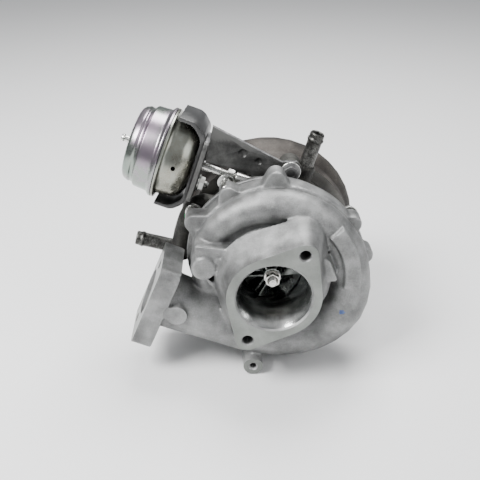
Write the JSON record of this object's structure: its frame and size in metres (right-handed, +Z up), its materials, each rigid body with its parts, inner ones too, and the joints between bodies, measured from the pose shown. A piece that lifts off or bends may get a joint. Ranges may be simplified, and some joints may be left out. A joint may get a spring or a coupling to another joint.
{
  "type": "turbocharger",
  "caption": "Variable nozzle turbocharger with a cast compressor scroll, an iron turbine housing and a vacuum actuator that turns its guide vanes by a rod and crank.",
  "frame": {"origin": "centre of the bottom of the whole object's box, on the surface it stands on", "axes": "+Z up, -Y out of the compressor inlet mouth along the shaft, +Y towards the turbine outlet, +X to the right when looking into the inlet"},
  "size_m": [0.1802, 0.15, 0.1801],
  "materials": {
    "cast_aluminium": "sand cast, bead blasted",
    "wheel_aluminium": "investment cast, smooth",
    "bearing_iron": "rough cast, dark",
    "turbine_iron": "rough cast, brown grey",
    "nickel_alloy": "heat resisting alloy, dull",
    "bright_steel": "ground",
    "dark_steel": "pressed, dark phosphate",
    "black_steel": "black, semi matt",
    "plated_steel": "zinc plated and passivated, faintly iridescent",
    "bright_zinc": "bright zinc plate",
    "spring_steel": "drawn wire",
    "pipe_steel": "drawn tube, dull",
    "bronze": "machined bearing bronze",
    "rubber": "moulded"
  },
  "bodies": {
    "housing": {"actuator_bracket": "dark_steel", "actuator_can_front": "plated_steel", "actuator_can_rear": "plated_steel", "actuator_cradle": "black_steel", "actuator_diaphragm": "rubber", "actuator_spring": "spring_steel", "bearing_housing": "bearing_iron", "bearing_spacer": "bronze", "bracket_bolt": "bright_zinc", "can_nut_lower": "bright_zinc", "can_nut_upper": "bright_zinc", "can_stud_lower": "bright_zinc", "can_stud_upper": "bright_zinc", "compressor_backplate": "cast_aluminium", "compressor_bolt_1": "bright_zinc", "compressor_bolt_2": "bright_zinc", "compressor_bolt_3": "bright_zinc", "compressor_bolt_4": "bright_zinc", "compressor_bolt_5": "bright_zinc", "compressor_housing": "cast_aluminium", "coolant_pipe_left": "pipe_steel", "coolant_pipe_right": "pipe_steel", "crank_bush": "bronze", "heat_shield": "nickel_alloy", "nozzle_ring": "nickel_alloy", "thrust_bearing": "bronze", "turbine_housing": "turbine_iron", "vacuum_nipple": "plated_steel"},
    "rotor": {"shaft": "bright_steel", "compressor_wheel": "wheel_aluminium", "turbine_wheel": "nickel_alloy", "shaft_nut": "bright_steel", "oil_flinger": "bright_steel", "thrust_collar": "bright_steel"},
    "front_bearing": {"journal_bearing_front": "bronze"},
    "rear_bearing": {"journal_bearing_rear": "bronze"},
    "unison": {"unison_ring": "nickel_alloy"},
    "crank": {"crank_shaft": "bright_steel", "crank_lever": "dark_steel", "crank_pin": "bright_steel"},
    "rod": {"actuator_rod": "plated_steel", "actuator_piston": "plated_steel", "rod_locknut": "bright_zinc", "rod_end": "bright_zinc"},
    "vane_1": {"vane_1": "nickel_alloy"},
    "vane_2": {"vane_2": "nickel_alloy"},
    "vane_3": {"vane_3": "nickel_alloy"},
    "vane_4": {"vane_4": "nickel_alloy"},
    "vane_5": {"vane_5": "nickel_alloy"},
    "vane_6": {"vane_6": "nickel_alloy"},
    "vane_7": {"vane_7": "nickel_alloy"},
    "vane_8": {"vane_8": "nickel_alloy"},
    "vane_9": {"vane_9": "nickel_alloy"}
  },
  "joints": [
    {"name": "rotor_spin", "type": "hinge", "parent": "housing", "child": "rotor", "pos_m": [0.01538, -0.005, 0.078], "axis": [0, 1, 0], "continuous": true},
    {"name": "front_bearing_float", "type": "hinge", "parent": "housing", "child": "front_bearing", "pos_m": [0.01538, -0.003, 0.078], "axis": [0, 1, 0], "continuous": true},
    {"name": "rear_bearing_float", "type": "hinge", "parent": "housing", "child": "rear_bearing", "pos_m": [0.01538, 0.007, 0.078], "axis": [0, 1, 0], "continuous": true},
    {"name": "unison_turn", "type": "hinge", "parent": "housing", "child": "unison", "pos_m": [0.01538, 0.0157, 0.078], "axis": [0, 1, 0], "range_deg": [-3, 3]},
    {"name": "vane_1_turn", "type": "hinge", "parent": "housing", "child": "vane_1", "pos_m": [-0.00736, 0.021, 0.09906], "axis": [0, 1, 0], "range_deg": [-15.4, 15.4]},
    {"name": "vane_2_turn", "type": "hinge", "parent": "housing", "child": "vane_2", "pos_m": [-0.01558, 0.021, 0.07951], "axis": [0, 1, 0], "range_deg": [-15.4, 15.4]},
    {"name": "vane_3_turn", "type": "hinge", "parent": "housing", "child": "vane_3", "pos_m": [-0.00931, 0.021, 0.05926], "axis": [0, 1, 0], "range_deg": [-15.4, 15.4]},
    {"name": "vane_4_turn", "type": "hinge", "parent": "housing", "child": "vane_4", "pos_m": [0.00851, 0.021, 0.04777], "axis": [0, 1, 0], "range_deg": [-15.4, 15.4]},
    {"name": "vane_5_turn", "type": "hinge", "parent": "housing", "child": "vane_5", "pos_m": [0.02955, 0.021, 0.05043], "axis": [0, 1, 0], "range_deg": [-15.4, 15.4]},
    {"name": "vane_6_turn", "type": "hinge", "parent": "housing", "child": "vane_6", "pos_m": [0.04396, 0.021, 0.06599], "axis": [0, 1, 0], "range_deg": [-15.4, 15.4]},
    {"name": "vane_7_turn", "type": "hinge", "parent": "housing", "child": "vane_7", "pos_m": [0.045, 0.021, 0.08717], "axis": [0, 1, 0], "range_deg": [-15.4, 15.4]},
    {"name": "vane_8_turn", "type": "hinge", "parent": "housing", "child": "vane_8", "pos_m": [0.03217, 0.021, 0.10406], "axis": [0, 1, 0], "range_deg": [-15.4, 15.4]},
    {"name": "vane_9_turn", "type": "hinge", "parent": "housing", "child": "vane_9", "pos_m": [0.0115, 0.021, 0.10876], "axis": [0, 1, 0], "range_deg": [-15.4, 15.4]},
    {"name": "crank_turn", "type": "hinge", "parent": "housing", "child": "crank", "pos_m": [-0.00093, 0.009, 0.10983], "axis": [0, 1, 0], "range_deg": [-15.7, 15.7]},
    {"name": "rod_slide", "type": "slide", "parent": "housing", "child": "rod", "axis": [0.9405, -0.1279, -0.3148], "range_m": [-0.00495, 0.00495], "deforming": ["actuator_spring", "actuator_diaphragm"]}
  ],
  "couplings": [
    {"joint": "vane_1_turn", "follows": "unison_turn", "ratio": 5.1333},
    {"joint": "vane_2_turn", "follows": "unison_turn", "ratio": 5.1333},
    {"joint": "vane_3_turn", "follows": "unison_turn", "ratio": 5.1333},
    {"joint": "vane_4_turn", "follows": "unison_turn", "ratio": 5.1333},
    {"joint": "vane_5_turn", "follows": "unison_turn", "ratio": 5.1333},
    {"joint": "vane_6_turn", "follows": "unison_turn", "ratio": 5.1333},
    {"joint": "vane_7_turn", "follows": "unison_turn", "ratio": 5.1333},
    {"joint": "vane_8_turn", "follows": "unison_turn", "ratio": 5.1333},
    {"joint": "vane_9_turn", "follows": "unison_turn", "ratio": 5.1333},
    {"joint": "crank_turn", "follows": "unison_turn", "ratio": 5.208},
    {"joint": "rod_slide", "follows": "unison_turn", "m_per_rad": 0.09452}
  ]
}
